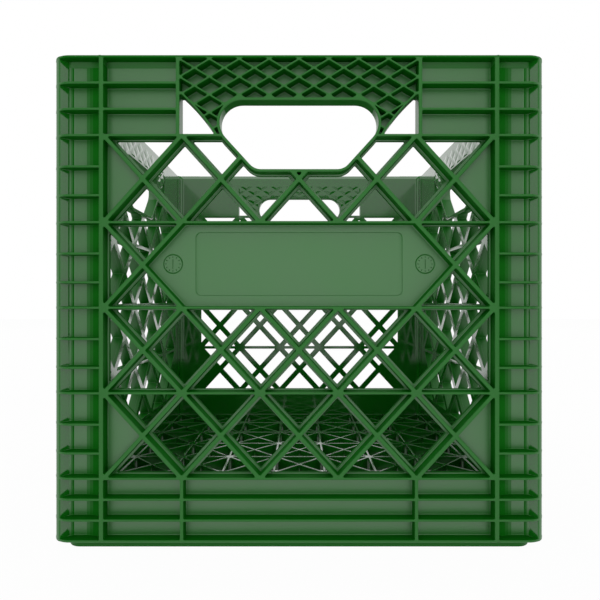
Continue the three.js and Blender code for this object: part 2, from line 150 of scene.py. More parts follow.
class CrateSizes(bpy.types.PropertyGroup):
    """Sizes of the moulding that the CAD solids' boxes don't give."""

    rib_depth: length("Rib depth", "Front of the ribs to the face of the plates", 8)
    rib: length("Level rib", "Thickness of level ribs, bay ribs and post shelves", 1.6)
    rib_flange: length("Level flange", "Inner flange of a level rib", 3.4)
    bar: length("Lattice bar", "Thickness of a slanting bar", 2.7)
    bar_flange: length("Bar flange", "Inner flange of a slanting bar", 6.3)
    side_flange: length("Side flange", "Narrow flange inside an open gap", 1.2)
    base_bay: length("Base bay", "Pitch of the level ribs in the base band", 14.17)
    base_bays: count("Base bays", "Bays in the base band", 3)
    base_rib: length("Base rib", "Upright ribs of the base band", 2.4)
    panel_bay: length("Panel bay", "Pitch of the level ribs in an upper panel", 17.85)
    panel_bays: count("Panel bays", "Level ribs in an upper panel", 2)
    panel_rib: length("Panel rib", "Upright rib between a panel and the grip", 2.5)
    post_rib: length("Post rib", "Upright rib along a post's edge", 3)
    post_web: length("Post web", "Slanting web in the corner of a post", 5.8)
    post_scoop: length("Post scoop", "Radius of the hollow in a post's skin beside its rib", 45)
    post_hollow: length("Post hollow", "Width of that hollow", 13.5)
    post_web_root: length("Web root", "Rounding from a post's skin to its web", 6.5)
    post_nose: length("Web edge", "Rounding of the web's outer edges", 0.8)
    post_inside: length("Inside corner", "Rounding of the corner inside the crate", 5)
    shelf_upper: length("Upper shelf", "Drop from a lattice row to a post's next shelf", 21.3)
    shelf_lower: length("Lower shelf", "Drop from a lattice row to the shelf below that", 40.9)
    corner: length("Corner radius", "Rounding of the crate's upright corners", 13.5)
    lip: length("Lip", "Thickness of the rim's lip", 1.6)
    rim_width: length("Rim width", "Flat top of the rim", 6.5)
    flare: length("Flare", "How far the plates lean out under the lip", 1.1)
    flare_height: length("Flare height", "Height over which the plates lean out", 4)
    edge: length("Edge rounding", "Rounding of the front edges of ribs", 0.5)
    draft: length("Draft", "How much wider a rib is at its root, on each side", 0.1)
    root: length("Root fillet", "Fillet where a rib meets a plate or flange", 0.5)
    flange_edge: length("Flange rounding", "Rounding of the flanges' edges", 0.2)
    gap_corner: length("Gap corner", "Rounding in the corners of the gaps", 0.75)
    opening_corner: length("Opening corner", "Rounding in the corners between flanges", 0.6)


class GripSizes(bpy.types.PropertyGroup):
    """Sizes of the hand hole and the waffle grip above it."""

    drop: length("Drop", "Rim of the crate to the top of the hand hole", 29.6)
    height: length("Height", "Height of the hand hole", 48.7)
    end_reach: length("End reach", "Middle of the wall to the centre of a round end", 39)
    end_radius: length("End radius", "Radius of the round ends", 16)
    foot_reach: length("Foot reach", "Middle of the wall to the centre of a lower corner", 26)
    foot_radius: length("Foot radius", "Radius of the lower corners", 11)
    rim: length("Hole rim", "Rim round the hand hole", 1.9)
    hole_edge: length("Hole edge", "Rounding of the hand hole's edges", 0.7)
    columns: count("Waffle columns", "Waffle crossings across the grip", 8)
    row: length("Waffle row", "Height from one row of crossings to the next", 12.15)
    waffle: length("Waffle rib", "Thickness of the waffle ribs", 1.2)
    top: length("Waffle top", "Rim of the crate to the first row of crossings", 2.5)
    stub_rows: count("Stub rows", "Rows from there down to the upright stubs over the hand hole", 2)
    gap_height: length("Corner height", "Open corner between the grip and a panel", 27.7)
    gap_width: length("Corner width", "Width of that corner", 25.5)
    gap_head: length("Corner head", "Width of its flat head", 2.6)
    gap_bulge: length("Corner bulge", "How far its slanting side bows into the grip", 1.3)
    gap_edge: length("Corner rib", "Rib along that side", 1.9)
    pad: length("Pad height", "Diamond pads on the inside of the grip", 0.45)
    pad_slope: factor("Pad slope", "Share of a pad that its slope takes up", 0.7)


class LabelSizes(bpy.types.PropertyGroup):
    """Sizes of the engraving on a label panel."""

    width: length("Frame width", "Width of the engraved frame", 143.6)
    height: length("Frame height", "Height of the engraved frame", 44)
    radius: length("Frame corner", "Corner radius of the engraved frame", 3.4)
    line: length("Line", "Width of an engraved line", 0.95)
    depth: length("Frame depth", "Depth of the frame's line", 0.35)
    dial_depth: length("Dial depth", "Depth of a dial's lines", 0.5)
    rise: length("Rise", "How far the engraving sits above the middle of the panel", 1.2)
    dial_reach: length("Dial reach", "Middle of the panel to the middle of a dial", 87.6)
    dial_radius: length("Dial radius", "Radius of a dial's ring", 6.5)
    tick: length("Tick", "Length of a dial's ticks", 1.1)
    tick_line: length("Tick line", "Width of a dial's ticks and hand", 0.55)
    ticks: count("Ticks", "Ticks round a dial", 12)


class FloorSizes(bpy.types.PropertyGroup):
    """Sizes of the floor grid and the stacking foot."""

    cells: count("Cells", "Square cells along a side of the floor", 7)
    rib: length("Floor rib", "Thickness of the floor's ribs", 2.2)
    edge: length("Floor edge", "Rounding of the floor ribs' edges", 0.4)
    foot_radius: length("Foot corner", "Corner radius of the stacking foot", 10)
    foot_width: length("Foot width", "Width of the stacking foot", 7)
    foot_edge: length("Foot edge", "Rounding under the stacking foot", 0.4)


class CrateFinish(bpy.types.PropertyGroup):
    """Colour and gloss of the plastic, and how strongly each copy reflects, which paints sheen and shade."""

    green: hex_colour("Green", "Colour of the plastic", "0C660F")
    deep: hex_colour("Deep green", "Colour of its darker streaks", "0A5E0D")
    ior: number("IOR", "Refractive index of HDPE", 1.54)
    roughness: factor("Roughness", "Roughness of plates, rib fronts and the foot", 0.42)
    matt: factor("Matt roughness", "Roughness of rib sides", 0.6)
    worn: factor("Worn roughness", "Roughness of the inside and floor, rubbed smooth in use", 0.1)
    # These specular levels set how strongly each copy reflects: the strongest paints a sheen on plates and
    # post skins, the weakest paint shade on rib sides, shelves, hollows, the lip and the foot
    specular: factor("Polished specular", "Reflection of the polished plates", 1.0)
    plain_specular: factor("Plain specular", "Reflection of rib fronts", 0.45)
    half_shade_specular: factor("Faded specular", "Reflection of the foot, and where polish fades out", 0.22)
    shade_specular: factor("Matt specular", "Reflection of rib sides", 0.05)
    worn_specular: factor("Worn specular", "Reflection under the film on worn faces", 0.4)
    # The coat on the strong-gloss copy adds to its painted sheen; on the worn copy it keeps the smooth gloss
    # clear
    sheen_film: factor("Polished film", "Waxy film on the polished plates", 0.3)
    worn_film: factor("Worn film", "Waxy film on the worn faces", 1.0)
    flow: length("Flow streaks", "Size of the cloudy streaks that the melt leaves", 40)
    cloud: factor("Gloss clouds", "How much those streaks vary the roughness", 0.2)
    grain: length("Tool grain", "Grain that the mould leaves, drawn coarse enough to show", 1.2)
    grain_depth: length("Grain depth", "Depth of that grain", 0.05)
    grain_bump: factor("Grain bump", "How far that grain bends reflections", 0.02)


class StudioSizes(bpy.types.PropertyGroup):
    """Camera, floor and light."""

    lens: number("Lens", "Focal length in millimetres on a 36 mm sensor", 30)
    distance: length("Camera distance", "Front of the crate to the camera", 339.4)
    height: length("Camera height", "Ground to the camera", 171.3)
    shift: length("Camera sideways", "Middle of the crate to the camera", 0.65)
    floor: length("Floor size", "Side of the floor", 8000)
    box: length("Soft box", "Side of a soft box", 3000)
    box_distance: length("Soft box distance", "Middle of the crate to a soft box", 2600)
    flag_distance: length("Flag distance", "Front of the crate to the flags", 900)
    side_gap: length("Side gap", "Middle of the crate to a dark flag on either side", 700)
    side_flag: length("Side flag", "Width of a dark flag on either side", 650)
    near_clip: length("Near clip", "Nearest that the camera sees", 10)
    room_light: number("Room light", "Even light from the white room", 0.55)
    front_key: number("Front key", "Radiance of the soft box in front", 1.05)
    back_key: number("Back key", "Radiance of the soft box behind", 0.7)
    side_key: number("Side key", "Radiance of the soft box on either side", 0.6)
    floor_glow: factor("Floor glow", "White that the floor shows by itself, over its shadows", 0.97)
    floor_white: hex_colour("Floor white", "Colour of the floor", "F2F2F2")
    felt: hex_colour("Felt", "Colour of the dark flags", "202020")


# Flat outlines: lists of 2D points, anticlockwise

def around(loop):
    """Every point of a closed loop between its two neighbours."""
    return zip(loop[-1:] + loop[:-1], loop, loop[1:] + loop[:1])


def left_of(direction):
    return Vector((-direction.y, direction.x)).normalized()


def turn_between(into, out):
    return math.atan2(into.x * out.y - into.y * out.x, into.dot(out))


def rectangle(left, foot, right, head):
    return [Vector((left, foot)), Vector((right, foot)), Vector((right, head)), Vector((left, head))]


def strip(start, end, width, extra=0.0):
    """A straight strip between two points, longer than them by extra at both ends."""
    along = (end - start).normalized()
    side = left_of(along) * width / 2
    start = start - along * extra
    end = end + along * extra
    return [start + side, start - side, end - side, end + side]


def arc(centre, radius, start, end, step=FINE_STEP):
    steps = max(1, math.ceil(abs(end - start) / step))
    angles = [start + (end - start) * index / steps for index in range(steps + 1)]
    return [centre + radius * Vector((math.cos(angle), math.sin(angle))) for angle in angles]


def mirrored(loop):
    """The outline on the other side of the wall's middle."""
    return [Vector((-point.x, point.y)) for point in reversed(loop)]


def corners_of(loop):
    """The loop without points that lie on a straight side or on top of each other."""
    apart = [here for before, here, _ in around(loop) if (here - before).length > SHORTEST]
    return [here for before, here, after in around(apart)
            if abs(turn_between(here - before, after - here)) > TINY_TURN]


def rounded(loop, radius, step=ARC_STEP):
    """The loop with its sharp corners rounded."""
    result = []
    for before, here, after in around(loop):
        into, out = here - before, after - here
        turn = turn_between(into, out)
        if abs(turn) < SOFT_TURN:
            result.append(here)
            continue
        slope = math.tan(abs(turn) / 2)
        reach = min(radius * slope, CORNER_SHARE * min(into.length, out.length))
        start = here - into.normalized() * reach
        centre = start + left_of(into) * math.copysign(reach / slope, turn)
        first = math.atan2(start.y - centre.y, start.x - centre.x)
        result += arc(centre, reach / slope, first, first + turn, step)
    return result


def inset(loop, amount):
    """The loop moved inwards by amount, or outwards where amount is negative."""
    result = []
    for before, here, after in around(loop):
        first, second = left_of(here - before), left_of(after - here)
        result.append(here + (first + second) * (amount / (1 + first.dot(second))))
    return result


def circle(centre, radius):
    return arc(centre, radius, 0, 2 * math.pi)[:-1]


def inside(point, loop):
    """Whether a point lies in a loop, by the sides that cross the level to its right."""
    crossings = 0
    for before, here, _ in around(loop):
        if (before.y > point.y) != (here.y > point.y):
            share = (point.y - before.y) / (here.y - before.y)
            crossings += before.x + share * (here.x - before.x) > point.x
    return crossings % 2 == 1


def middle_of(loop):
    return sum(loop, Vector((0, 0))) / len(loop)


def area_of(loop):
    return sum(before.x * here.y - here.x * before.y for before, here, _ in around(loop)) / 2


def room_in(loop):
    """Radius of the largest circle in a triangle, and about that for other loops."""
    return 2 * area_of(loop) / sum((here - before).length for before, here, _ in around(loop))


def triangulated(outlines, wanted):
    """Points, and the triangles whose set of outline names is wanted."""
    points, faces, names = [], [], []
    for name, outline in outlines:
        faces.append(list(range(len(points), len(points) + len(outline))))
        points += outline if area_of(outline) > 0 else outline[::-1]
        names.append(name)
    made, _, triangles, _, _, owners = delaunay_2d_cdt(points, [], faces, 0, WELD / 10, True)
    kept = [triangle for triangle, own in zip(triangles, owners) if wanted({names[index] for index in own})]
    return made, kept


def is_solid(names):
    """Waffle ribs count only inside the grip."""
    return "solid" in names or {"waffle", "grip"} <= names


def gaps(outlines):
    """Outlines of what the solid outlines leave open inside the field, anticlockwise."""
    points, triangles = triangulated(outlines, lambda names: "field" in names and not is_solid(names))
    sides = {side for triangle in triangles for side in zip(triangle, triangle[1:] + triangle[:1])}
    following = {start: end for start, end in sides if (end, start) not in sides}
    loops = []
    while following:
        start = min(following)
        loop, here = [start], following.pop(start)
        while here != start:
            loop.append(here)
            here = following.pop(here)
        loops.append(corners_of([points[index] for index in loop]))
    return [loop for loop in loops if len(loop) > 2]


# Surfaces: points and faces in space, gathered piece by piece and welded at the end

class Skin:
    """One closed surface. place turns a flat point and a depth into a point in space."""

    def __init__(self, place):
        self.place = place
        self.points = []
        self.faces = []

    def ring(self, loop, depth):
        first = len(self.points)
        self.points += [self.place(point, depth) for point in loop]
        return list(range(first, len(self.points)))

    def join(self, rings):
        """Faces from every ring to the next."""
        for first, second in zip(rings, rings[1:]):
            for index, here in enumerate(first):
                self.faces.append((first[index - 1], here, second[index], second[index - 1]))

    def sweep(self, loop, profile):
        """Rings at each (inset, depth) of a profile, joined in order. Gives the last ring."""
        rings = [self.ring(inset(loop, amount), depth) for amount, depth in profile]
        self.join(rings)
        return rings[-1]

    def sheet(self, outlines, wanted, depth):
        points, triangles = triangulated(outlines, wanted)
        ring = self.ring(points, depth)
        self.faces += [[ring[index] for index in triangle] for triangle in triangles]

    def pierced(self, outline, holes, depth):
        """A flat face with holes in it."""
        outlines = [("face", outline)] + [("hole", hole) for hole in holes]
        self.sheet(outlines, lambda names: names == {"face"}, depth)

    def stack(self, rings):
        """Rings in space, joined in order and closed at both ends."""
        made = [self.ring(points, 0) for points in rings]
        self.join(made)
        self.faces += [made[0], made[-1]]

    def welded(self):
        """The surface as a bmesh, with shared points and its faces turned outwards."""
        mesh = bpy.data.meshes.new("draft")
        mesh.from_pydata(self.points, [], self.faces)
        body = bmesh.new()
        body.from_mesh(mesh)
        bpy.data.meshes.remove(mesh)
        bmesh.ops.remove_doubles(body, verts=body.verts, dist=WELD)
        bmesh.ops.dissolve_degenerate(body, edges=body.edges, dist=WELD)
        bmesh.ops.recalc_face_normals(body, faces=body.faces)
        closed_or_stop(body)
        return body


def closed_or_stop(body):
    open_edges = sum(not edge.is_manifold for edge in body.edges)
    if open_edges:
        raise RuntimeError(f"a surface has {open_edges} edges that don't close")


def rounding(radius, start):
    """Profile of a quarter round from a face at depth start over into a side."""
    return [(-radius * run, start + radius * drop) for run, drop in QUARTER_ROUND]


def root_fillet(radius, depth, side):
    """Profile of a fillet from a side into a face at depth."""
    return [(side + radius * drop, depth - radius * run) for run, drop in QUARTER_ROUND]


def through_profile(front_edge, back_edge, front, back):
    """Profile of a hole from one face to another, rounded at both."""
    mirrored_round = [(amount, front + back - depth) for amount, depth in rounding(back_edge, front)]
    return rounding(front_edge, front) + mirrored_round[::-1]


# The wall, seen from outside: x along it, y up

def base_levels(sizes):
    """Level ribs of the base band, from its top down."""
    return [BASE_TOP - bay * sizes.base_bay for bay in range(sizes.base_bays + 1)]


def panel_levels(sizes):
    """Level ribs of an upper panel."""
    return [PANEL_FOOT + bay * sizes.panel_bay for bay in range(1, sizes.panel_bays + 1)]


def flare_foot(sizes):
    """Where the plates begin to lean out under the lip."""
    return RIM - sizes.lip - sizes.flare_height


def lean(sizes, height):
    """How far the plates lean out at a height."""
    return max(0.0, height - flare_foot(sizes)) * sizes.flare / sizes.flare_height


def lead_in_foot(sizes):
    """Where the inside begins to slope out to the rim."""
    return RIM - (WALL - sizes.rim_width)


def slanting_bar(foot, head, width):
    """A bar between two points on level ribs, cut off level inside these."""
    along = head - foot
    across = Vector((along.length / along.y * width / 2, 0))
    along *= BAR_OVERLAP / along.y
    foot, head = foot - along, head + along
    return [foot - across, foot + across, head + across, head - across]


def lattice(width, labelled):
    """Both slanting bars of every cell, apart from those that the label panel replaces."""
    outlines = []
    for row, (foot, head) in enumerate(zip(LATTICE_LEVELS, LATTICE_LEVELS[1:])):
        for column in range(COLUMNS):
            if labelled and row == LABEL_ROW and 0 < column < COLUMNS - 1:
                continue
            left = column * COLUMN_PITCH - POST_INNER
            right = left + COLUMN_PITCH
            outlines.append(("solid", slanting_bar(Vector((left, foot)), Vector((right, head)), width)))
            outlines.append(("solid", slanting_bar(Vector((right, foot)), Vector((left, head)), width)))
    return outlines


def handle_outline(grip, offset):
    """The hand hole: round ends, and lower corners tangent to them, moved out by offset."""
    top = RIM - grip.drop
    end = Vector((grip.end_reach, top - grip.end_radius))
    foot = Vector((grip.foot_reach, top - grip.height + grip.foot_radius))
    across = foot - end
    tangent = math.atan2(across.y, across.x) + math.acos((grip.end_radius - grip.foot_radius) / across.length)
    right = arc(foot, grip.foot_radius + offset, -QUARTER, tangent)
    right += arc(end, grip.end_radius + offset, tangent, QUARTER)
    return right + mirrored(right)


def gap_side(grip, shift):
    """Slanting side of the open corner right of the grip, from its top, moved in by shift."""
    low = Vector((GRIP_CUT - grip.gap_width - shift, PANEL_FOOT))
    high = Vector((GRIP_CUT - grip.gap_head - shift, PANEL_FOOT + grip.gap_height))
    bow = (low + high) / 2 + left_of(high - low) * 2 * grip.gap_bulge
    shares = [index / BOW_STEPS for index in range(BOW_STEPS + 1)]
    return [(1 - t) ** 2 * high + 2 * t * (1 - t) * bow + t ** 2 * low for t in shares]


def grip_outline(grip, shift):
    """The grip between its open corners, up to the rim, with its slanting sides moved in by shift."""
    side = gap_side(grip, shift)
    right = side[::-1] + [Vector((GRIP_CUT, side[0].y)), Vector((GRIP_CUT, RIM))]
    return right + mirrored(right)


def waffle(grip, panel):
    """Crossed ribs between the upper panels, and the upright stubs that stand on the hand hole."""
    pitch = 2 * panel / grip.columns
    top = RIM - grip.top
    reach = (top - PANEL_FOOT) * pitch / grip.row
    spread = math.ceil((panel + reach) / pitch)
    for index in range(-spread, spread + 1):
        start = Vector((index * pitch, top))
        for side in (-1, 1):
            yield strip(start, Vector((start.x + side * reach, PANEL_FOOT)), grip.waffle, grip.row)
    stub_top = top - grip.stub_rows * grip.row
    for index in (-1, 0, 1):
        yield strip(Vector((index * pitch, stub_top)), Vector((index * pitch, RIM - grip.drop)), grip.waffle)


def solid(left, foot, right, head):
    """A solid rectangle. Its left and right may be given the other way round."""
    left, right = sorted((left, right))
    return "solid", rectangle(left, foot, right, head)


def level_rib(left, right, level, width):
    return solid(left, level - width / 2, right, level + width / 2)


def rib_outlines(sizes, grip, labelled):
    """Everything that reaches the outside of the wall."""
    reach = POST_INNER + sizes.post_rib
    panel = GRIP_CUT - sizes.panel_rib / 2
    outlines = [("field", rectangle(-reach, BODY_BOTTOM, reach, RIM))]
    for level in (*LATTICE_LEVELS[1:], *base_levels(sizes)):
        outlines.append(level_rib(-reach, reach, level, sizes.rib))
    outlines.append(solid(-reach, RIM - sizes.lip, reach, RIM))
    for side in (-1, 1):
        place = side * END_COLUMN
        outlines.append(solid(side * POST_INNER, BODY_BOTTOM, side * reach, RIM))
        outlines.append(solid(place - sizes.base_rib / 2, BODY_BOTTOM, place + sizes.base_rib / 2, BASE_TOP))
        outlines.append(solid(side * panel, PANEL_FOOT, side * (panel + sizes.panel_rib), RIM))
        for level in panel_levels(sizes):
            outlines.append(level_rib(side * panel, side * reach, level, sizes.rib))
    outlines += lattice(sizes.bar, labelled)
    outlines.append(("solid", handle_outline(grip, grip.rim / 2)))
    outlines.append(("grip", grip_outline(grip, 0)))
    outlines += [("waffle", outline) for outline in waffle(grip, panel)]
    edge = gap_side(grip, grip.gap_edge) + gap_side(grip, 0)[::-1]
    foot = edge[-1].y
    head = rectangle(edge[0].x, foot, GRIP_CUT, foot + grip.gap_edge)
    outlines += [("solid", outline) for side in (edge, head) for outline in (side, mirrored(side))]
    return outlines


def plate_outlines(sizes, grip, labelled):
    """Everything in the inner layer of the wall: plates, and the flanges of ribs and bars."""
    reach = POST_INNER + sizes.post_rib
    panel = GRIP_CUT - sizes.panel_rib / 2
    outlines = [
        ("field", rectangle(-reach, BODY_BOTTOM, reach, RIM)),
        solid(-reach, BODY_BOTTOM, reach, BASE_TOP + sizes.rib_flange / 2),
        ("solid", handle_outline(grip, grip.rim / 2 + sizes.side_flange)),
        ("solid", grip_outline(grip, -2 * sizes.side_flange)),
    ]
    outlines += [level_rib(-reach, reach, level, sizes.rib_flange) for level in LATTICE_LEVELS[1:]]
    for side in (-1, 1):
        outlines.append(solid(side * (POST_INNER - sizes.side_flange), BODY_BOTTOM, side * reach, RIM))
        outlines.append(solid(side * (panel - sizes.side_flange), PANEL_FOOT, side * reach, RIM))
        for row in CLOSED_ROWS:
            foot, head = LATTICE_LEVELS[row:row + 2]
            tip = Vector((side * (POST_INNER - COLUMN_PITCH / 2), (foot + head) / 2))
            ends = [Vector((side * POST_INNER, level)) for level in (foot, head)]
            outlines.append(("solid", ends + [tip]))
    outlines += lattice(sizes.bar_flange, labelled)
    if labelled:
        tip = Vector((POST_INNER - COLUMN_PITCH / 2, (LABEL_FOOT + LABEL_HEAD) / 2))
        right = [Vector((END_COLUMN, LABEL_FOOT)), tip, Vector((END_COLUMN, LABEL_HEAD))]
        outlines.append(("solid", right + mirrored(right)))
    return outlines


def on_front_wall(point, depth):
    return Vector((point.x, depth - HALF, point.y))


def split_at(loop, level):
    """The loop with points added where it crosses a level, and where these are."""
    result, places = [], []
    for before, here, _ in around(loop):
        if (before.y - level) * (here.y - level) < 0:
            places.append(len(result))
            result.append(before.lerp(here, (level - before.y) / (here.y - before.y)))
        result.append(here)
    return result, places


class WallBuilder:
    """One wall between the middles of its posts' ribs."""

    def __init__(self, sizes, grip, label):
        self.sizes, self.grip, self.label = sizes, grip, label
        self.reach = POST_INNER + sizes.post_rib / 2
        self.skin = Skin(on_front_wall)
        self.pocket_skin = Skin(self.under_the_rim)
        self.front_holes = []
        self.back_holes = []

    def under_the_rim(self, point, depth):
        """Pockets grow shallow where the plates lean out under the lip."""
        return on_front_wall(point, min(depth, self.sizes.rib_depth - lean(self.sizes, point.y)))

    def pocket_profile(self):
        sizes = self.sizes
        return rounding(sizes.edge, 0) + root_fillet(sizes.root, sizes.rib_depth, sizes.draft)

    def closed_pocket(self, outline, crossings):
        last = self.pocket_skin.sweep(outline, self.pocket_profile())
        if len(crossings) == 2:
            first, second = crossings
            self.pocket_skin.faces += [last[first:second + 1], last[second:] + last[:first + 1]]
        else:
            self.pocket_skin.faces.append(last)

    def open_pocket(self, outline, opening):
        sizes = self.sizes
        self.skin.sweep(outline, self.pocket_profile())
        hole = rounded(opening, sizes.opening_corner)
        profile = through_profile(sizes.flange_edge, sizes.flange_edge, sizes.rib_depth, WALL)
        self.skin.sweep(hole, profile)
        mouth = inset(hole, -sizes.flange_edge)
        self.skin.pierced(inset(outline, sizes.draft + sizes.root), [mouth], sizes.rib_depth)
        self.back_holes.append(mouth)

    def label_pocket(self, outline):
        """A closed pocket whose floor carries an engraved frame and two plain dials."""
        label, depth = self.label, self.sizes.rib_depth
        self.skin.sweep(outline, self.pocket_profile())
        middle = Vector((0, (LABEL_FOOT + LABEL_HEAD) / 2 + label.rise))
        frame_loop = rectangle(
            -label.width / 2, middle.y - label.height / 2, label.width / 2, middle.y + label.height / 2)
        lines = [rounded(frame_loop, label.radius, FINE_STEP)]
        ticks = []
        for side in (-1, 1):
            centre = middle + Vector((side * label.dial_reach, 0))
            lines.append(circle(centre, label.dial_radius))
            for index in range(label.ticks):
                angle = 2 * math.pi * index / label.ticks
                way = Vector((math.cos(angle), math.sin(angle)))
                outer = centre + way * (label.dial_radius - label.tick)
                ticks.append(strip(outer, outer - way * label.tick, label.tick_line))
            hand = Vector((0, label.dial_radius / 2))
            ticks.append(strip(centre - hand, centre + hand, label.tick_line))
        floor = [("pocket", inset(outline, self.sizes.draft + self.sizes.root))]
        half = label.line / 2
        for index, line in enumerate(lines):
            groove = label.dial_depth if index else label.depth
            self.skin.sweep(line, [(-half, depth), (0, depth + groove), (half, depth)])
            floor += [(f"line{index}", inset(line, -half)), (f"core{index}", inset(line, half))]
        slope = label.tick_line / 3
        for tick in ticks:
            self.skin.faces.append(self.skin.sweep(tick, [(0, depth), (slope, depth + label.dial_depth)]))
            floor.append(("tick", tick))

        def plain(names):
            grooved = any(f"line{index}" in names and f"core{index}" not in names
                          for index in range(len(lines)))
            return "pocket" in names and "tick" not in names and not grooved

        self.skin.sheet(floor, plain, depth)

    def through_hole(self, outline, edge):
        self.skin.sweep(outline, through_profile(edge, edge, 0, WALL))
        self.back_holes.append(inset(outline, -edge))

    def inner_pad(self, outline):
        """A softly crowned diamond on the inside of the grip, behind a waffle pocket."""
        centre = middle_of(outline)
        rings = []
        for step in range(PAD_STEPS + 1):
            share = step / PAD_STEPS
            loop = [point.lerp(centre, share * self.grip.pad_slope) for point in outline]
            rings.append(self.skin.ring(loop, WALL + self.grip.pad * math.sin(share * QUARTER)))
        self.skin.join(rings)
        self.skin.faces.append(rings[-1])
        self.back_holes.append(outline)

    def hand_hole(self):
        outline = handle_outline(self.grip, -self.grip.rim / 2)
        self.through_hole(outline, self.grip.hole_edge)
        self.front_holes.append(inset(outline, -self.grip.hole_edge))

    def in_grip(self, point):
        return inside(point, grip_outline(self.grip, 0)) and point.y > PANEL_FOOT

    def pockets(self, labelled):
        openings = gaps(plate_outlines(self.sizes, self.grip, labelled))
        for loop in gaps(rib_outlines(self.sizes, self.grip, labelled)):
            if room_in(loop) < 2 * self.sizes.root:
                continue
            outline, crossings = split_at(rounded(loop, self.sizes.gap_corner), flare_foot(self.sizes))
            self.front_holes.append(inset(outline, -self.sizes.edge))
            opening = next((hole for hole in openings if inside(middle_of(hole), loop)), None)
            centre = middle_of(loop)
            if opening and centre.y > PANEL_FOOT:
                self.through_hole(outline, self.sizes.edge)
            elif opening:
                self.open_pocket(outline, opening)
            elif labelled and LABEL_FOOT < centre.y < LABEL_HEAD:
                self.label_pocket(outline)
            else:
                self.closed_pocket(outline, crossings)
                if self.in_grip(centre) and not crossings:
                    self.inner_pad(outline)

    def faces_and_edges(self):
        """Outside, inside, rim, underside and ends of the wall."""
        sizes = self.sizes
        left, right = -self.reach, self.reach
        edge = sizes.edge
        slope_foot = lead_in_foot(sizes)
        self.skin.pierced(rectangle(left, BODY_BOTTOM + edge, right, RIM - edge), self.front_holes, 0)
        self.skin.pierced(rectangle(left, BODY_BOTTOM + edge, right, slope_foot), self.back_holes, WALL)
        top = [(RIM + amount, depth) for amount, depth in rounding(edge, 0)]
        top += [(RIM, sizes.rim_width - edge), (RIM - edge / 2, sizes.rim_width + edge / 2)]
        top.append((slope_foot, WALL))
        bottom = [(BODY_BOTTOM - amount, depth) for amount, depth in through_profile(edge, edge, 0, WALL)]
        for profile in (top, bottom):
            rows = [self.skin.ring([Vector((left, height)), Vector((right, height))], depth)
                    for height, depth in profile]
            for here, after in zip(rows, rows[1:]):
                self.skin.faces.append((here[0], here[1], after[1], after[0]))
        section = top + bottom[::-1]
        for side in (left, right):
            end = [self.skin.ring([Vector((side, height))], depth)[0] for height, depth in section]
            self.skin.faces.append(end)

    def built(self, labelled):
        self.pockets(labelled)
        self.hand_hole()
        self.faces_and_edges()
        first = len(self.skin.points)
        self.skin.points += self.pocket_skin.points
        self.skin.faces += [[first + index for index in face] for face in self.pocket_skin.faces]
        return self.skin.welded()


def cut(body, point, normal):
    """Keeps what lies behind a plane, and closes the cut."""
    everything = body.verts[:] + body.edges[:] + body.faces[:]
    made = bmesh.ops.bisect_plane(
        body, geom=everything, dist=WELD, plane_co=point, plane_no=normal, clear_outer=True)
    rim = [item for item in made["geom_cut"] if isinstance(item, bmesh.types.BMEdge)]
    bmesh.ops.holes_fill(body, edges=rim, sides=0)


def wall_region(whole, left, right, foot, head):
    """The part of a wall between four seams, each of which may be None at the wall's own edge."""
    body = whole.copy()
    for place, normal in ((left, (-1, 0, 0)), (right, (1, 0, 0)), (foot, (0, 0, -1)), (head, (0, 0, 1))):
        if place is not None:
            cut(body, Vector((place, 0, place)), Vector(normal))
    bmesh.ops.recalc_face_normals(body, faces=body.faces)
    closed_or_stop(body)
    return body


WALL_REGIONS = {
    "upper_left_panel": (None, -GRIP_CUT, PANEL_FOOT, None),
    "upper_right_panel": (GRIP_CUT, None, PANEL_FOOT, None),
    "handle_grip": (-GRIP_CUT, GRIP_CUT, LABEL_HEAD, None),
    "upper_left_lattice": (None, -GRIP_CUT, LABEL_HEAD, PANEL_FOOT),
    "upper_right_lattice": (GRIP_CUT, None, LABEL_HEAD, PANEL_FOOT),
    "label_band": (None, None, LABEL_FOOT, LABEL_HEAD),
    "middle_lattice": (None, None, LOW_ROW, LABEL_FOOT),
    "lower_lattice": (None, None, BASE_TOP, LOW_ROW),
    "base_band": (None, None, None, BASE_TOP),
}


def post_side(sizes):
    """Plan of a post's outside in a bay, from its seam to the middle of its corner web."""
    rib_face = POST_INNER + sizes.post_rib
    skin = HALF - sizes.rib_depth
    edge = sizes.edge
    points = [Vector((POST_INNER + sizes.post_rib / 2, HALF))]
    points += arc(Vector((rib_face - edge, HALF - edge)), edge, QUARTER, 0, ARC_STEP)
    hollow = Vector((rib_face + sizes.draft + sizes.post_hollow, skin + sizes.post_scoop))
    tilt = math.asin(sizes.post_hollow / sizes.post_scoop)
    points += arc(hollow, sizes.post_scoop, 3 * QUARTER - tilt, 3 * QUARTER, HOLLOW_STEP)
    half_web = sizes.post_web / 2
    corner = Vector((skin - half_web * math.sqrt(2), skin))
    reach = sizes.post_web_root * math.tan(QUARTER / 4)
    root = Vector((corner.x - reach, skin + sizes.post_web_root))
    points += arc(root, sizes.post_web_root, 3 * QUARTER, 3.5 * QUARTER, FINE_STEP)
    centre = Vector((HALF - sizes.corner, HALF - sizes.corner))
    tip = sizes.post_nose
    turn = QUARTER / 2 + math.asin((half_web - tip) / (sizes.corner - tip))
    bend = centre + (sizes.corner - tip) * Vector((math.cos(turn), math.sin(turn)))
    points += arc(bend, tip, 1.5 * QUARTER, turn, ARC_STEP)
    points += arc(centre, sizes.corner, turn, QUARTER / 2, FINE_STEP)
    return points


def shelf_edge(point, sizes):
    """Where a point of a post's side comes out on the edge of a shelf."""
    centre = Vector((HALF - sizes.corner, HALF - sizes.corner))
    if point.x <= centre.x:
        return Vector((point.x, HALF))
    return centre + (point - centre).normalized() * sizes.corner


def post_levels(sizes):
    """Shelves of a post, from its foot up."""
    levels = base_levels(sizes) + panel_levels(sizes)
    for head in LATTICE_LEVELS[1:]:
        levels += [head, head - sizes.shelf_upper, head - sizes.shelf_lower]
    return sorted(levels)


